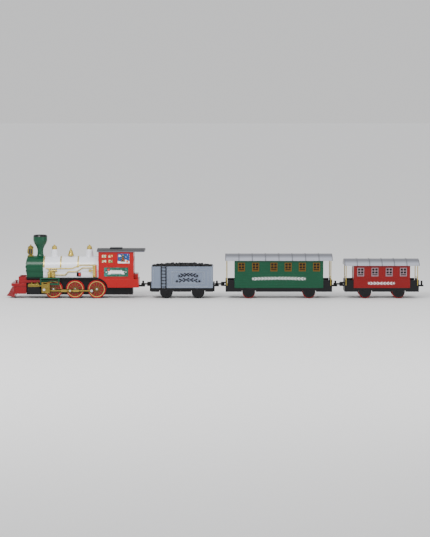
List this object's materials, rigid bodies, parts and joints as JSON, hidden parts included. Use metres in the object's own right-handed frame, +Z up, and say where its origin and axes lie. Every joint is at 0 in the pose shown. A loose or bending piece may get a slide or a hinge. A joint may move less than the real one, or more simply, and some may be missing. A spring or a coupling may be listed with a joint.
{
  "type": "toy train",
  "caption": "Battery toy train: six-coupled locomotive with balloon stack and side rods, coal tender and two platform-ended coaches, hitched in line on drawbars.",
  "frame": {"origin": "on the floor, midway along the train's length, on its middle plane", "axes": "the train faces -X, +Y is its right side, +Z is up"},
  "size_m": [0.7524, 0.0618, 0.1128],
  "materials": {
    "black_plastic": "satin black moulding",
    "green_plastic": "glossy green",
    "white_plastic": "glossy off-white",
    "red_plastic": "glossy red",
    "dark_red_plastic": "glossy dark red",
    "wheel_plastic": "glossy red with steel axle",
    "gilt_plastic": "gold-painted moulding",
    "grey_plastic": "satin grey",
    "tender_grey_plastic": "blue-grey",
    "coal_plastic": "rough black",
    "pale_frame_plastic": "pale window frames",
    "natural_plastic": "unpainted gears",
    "motor_steel": "plated steel",
    "pinion_brass": "bare",
    "screw_steel": "plated steel",
    "cell_steel": "plain wrapped cells",
    "lens_clear": "clear",
    "bulb_clear": "diffused",
    "board_green": "circuit board",
    "speaker_black": "paper and steel"
  },
  "bodies": {
    "locomotive": {"battery_cells": "cell_steel", "battery_contacts": "screw_steel", "battery_cover": "black_plastic", "bell": "gilt_plastic", "boiler_bands": "gilt_plastic", "boiler_shell": "white_plastic", "cab": "red_plastic", "cab_roof": "grey_plastic", "chimney": "green_plastic", "cylinder_trims": "gilt_plastic", "dome_caps": "gilt_plastic", "headlight_bulb": "bulb_clear", "headlight_housing": "gilt_plastic", "headlight_lens": "lens_clear", "left_pipework": "gilt_plastic", "loco_chassis": "black_plastic", "loco_screws": "screw_steel", "motor": "motor_steel", "pilot": "red_plastic", "right_pipework": "gilt_plastic", "running_steps": "green_plastic", "smokebox": "green_plastic", "smokebox_door": "green_plastic", "sound_board": "board_green", "speaker": "speaker_black", "steam_domes": "white_plastic", "switch_housing": "black_plastic", "underside_cover": "black_plastic"},
    "front_drivers": {"front_drivers": "wheel_plastic"},
    "middle_drivers": {"middle_drivers": "wheel_plastic"},
    "rear_drivers": {"rear_drivers": "wheel_plastic", "axle_gear": "natural_plastic"},
    "left_side_rod": {"left_side_rod": "gilt_plastic"},
    "right_side_rod": {"right_side_rod": "gilt_plastic"},
    "reduction_gear": {"reduction_gear": "natural_plastic"},
    "motor_pinion": {"motor_pinion": "pinion_brass"},
    "switch_button": {"switch_button": "red_plastic"},
    "tender": {"tender_body": "tender_grey_plastic", "coal_load": "coal_plastic", "tender_ladders": "black_plastic", "tender_frame": "black_plastic"},
    "tender_drawbar": {"tender_drawbar": "black_plastic"},
    "tender_front_wheels": {"tender_front_wheels": "black_plastic"},
    "tender_rear_wheels": {"tender_rear_wheels": "black_plastic"},
    "green_coach": {"green_coach_body": "green_plastic", "green_coach_windows": "gilt_plastic", "green_coach_roof": "grey_plastic", "green_coach_posts": "gilt_plastic", "green_coach_frame": "black_plastic"},
    "green_coach_drawbar": {"green_coach_drawbar": "black_plastic"},
    "green_coach_front_wheels": {"green_coach_front_wheels": "wheel_plastic"},
    "green_coach_rear_wheels": {"green_coach_rear_wheels": "wheel_plastic"},
    "red_coach": {"red_coach_body": "dark_red_plastic", "red_coach_windows": "pale_frame_plastic", "red_coach_roof": "grey_plastic", "red_coach_posts": "gilt_plastic", "red_coach_frame": "black_plastic"},
    "red_coach_drawbar": {"red_coach_drawbar": "black_plastic"},
    "red_coach_front_wheels": {"red_coach_front_wheels": "wheel_plastic"},
    "red_coach_rear_wheels": {"red_coach_rear_wheels": "wheel_plastic"}
  },
  "joints": [
    {"name": "front_driver_spin", "type": "hinge", "parent": "locomotive", "child": "front_drivers", "pos_m": [-0.28952, 0, 0.0167], "axis": [0, 1, 0], "continuous": true},
    {"name": "middle_driver_spin", "type": "hinge", "parent": "locomotive", "child": "middle_drivers", "pos_m": [-0.25072, 0, 0.0167], "axis": [0, 1, 0], "continuous": true},
    {"name": "rear_driver_spin", "type": "hinge", "parent": "locomotive", "child": "rear_drivers", "pos_m": [-0.21193, 0, 0.0167], "axis": [0, 1, 0], "continuous": true},
    {"name": "left_rod_pin", "type": "hinge", "parent": "rear_drivers", "child": "left_side_rod", "pos_m": [-0.22101, -0.0235, 0.01392], "axis": [0, 1, 0], "continuous": true},
    {"name": "right_rod_pin", "type": "hinge", "parent": "rear_drivers", "child": "right_side_rod", "pos_m": [-0.2147, 0.0235, 0.02578], "axis": [0, 1, 0], "continuous": true},
    {"name": "reduction_gear_spin", "type": "hinge", "parent": "locomotive", "child": "reduction_gear", "pos_m": [-0.21763, 0.01265, 0.02657], "axis": [0, 1, 0], "continuous": true},
    {"name": "motor_spin", "type": "hinge", "parent": "locomotive", "child": "motor_pinion", "pos_m": [-0.22173, 0.00975, 0.03785], "axis": [0, 1, 0], "continuous": true},
    {"name": "switch_slide", "type": "slide", "parent": "locomotive", "child": "switch_button", "axis": [-1, 0, 0], "range_m": [0, 0.0028]},
    {"name": "tender_hook_pivot", "type": "hinge", "parent": "locomotive", "child": "tender_drawbar", "pos_m": [-0.12953, 0, 0.02425], "axis": [0, 0, 1], "range_deg": [-16, 16]},
    {"name": "tender_clevis_pivot", "type": "hinge", "parent": "tender_drawbar", "child": "tender", "pos_m": [-0.11903, 0, 0.02425], "axis": [0, 0, 1], "range_deg": [-16, 16]},
    {"name": "tender_front_axle_spin", "type": "hinge", "parent": "tender", "child": "tender_front_wheels", "pos_m": [-0.08728, 0, 0.0115], "axis": [0, 1, 0], "continuous": true},
    {"name": "tender_rear_axle_spin", "type": "hinge", "parent": "tender", "child": "tender_rear_wheels", "pos_m": [-0.03027, 0, 0.0115], "axis": [0, 1, 0], "continuous": true},
    {"name": "green_coach_hook_pivot", "type": "hinge", "parent": "tender", "child": "green_coach_drawbar", "pos_m": [0.00347, 0, 0.02425], "axis": [0, 0, 1], "range_deg": [-16, 16]},
    {"name": "green_coach_clevis_pivot", "type": "hinge", "parent": "green_coach_drawbar", "child": "green_coach", "pos_m": [0.01397, 0, 0.02425], "axis": [0, 0, 1], "range_deg": [-16, 16]},
    {"name": "green_coach_front_axle_spin", "type": "hinge", "parent": "green_coach", "child": "green_coach_front_wheels", "pos_m": [0.06048, 0, 0.0115], "axis": [0, 1, 0], "continuous": true},
    {"name": "green_coach_rear_axle_spin", "type": "hinge", "parent": "green_coach", "child": "green_coach_rear_wheels", "pos_m": [0.16848, 0, 0.0115], "axis": [0, 1, 0], "continuous": true},
    {"name": "red_coach_hook_pivot", "type": "hinge", "parent": "green_coach", "child": "red_coach_drawbar", "pos_m": [0.21698, 0, 0.02425], "axis": [0, 0, 1], "range_deg": [-16, 16]},
    {"name": "red_coach_clevis_pivot", "type": "hinge", "parent": "red_coach_drawbar", "child": "red_coach", "pos_m": [0.22748, 0, 0.02425], "axis": [0, 0, 1], "range_deg": [-16, 16]},
    {"name": "red_coach_front_axle_spin", "type": "hinge", "parent": "red_coach", "child": "red_coach_front_wheels", "pos_m": [0.26898, 0, 0.0115], "axis": [0, 1, 0], "continuous": true},
    {"name": "red_coach_rear_axle_spin", "type": "hinge", "parent": "red_coach", "child": "red_coach_rear_wheels", "pos_m": [0.32898, 0, 0.0115], "axis": [0, 1, 0], "continuous": true}
  ],
  "couplings": [
    {"joint": "front_driver_spin", "follows": "rear_driver_spin", "ratio": 1},
    {"joint": "middle_driver_spin", "follows": "rear_driver_spin", "ratio": 1},
    {"joint": "left_rod_pin", "follows": "rear_driver_spin", "ratio": -1},
    {"joint": "right_rod_pin", "follows": "rear_driver_spin", "ratio": -1},
    {"joint": "reduction_gear_spin", "follows": "rear_driver_spin", "ratio": -2.1667},
    {"joint": "motor_spin", "follows": "rear_driver_spin", "ratio": 6.5}
  ]
}
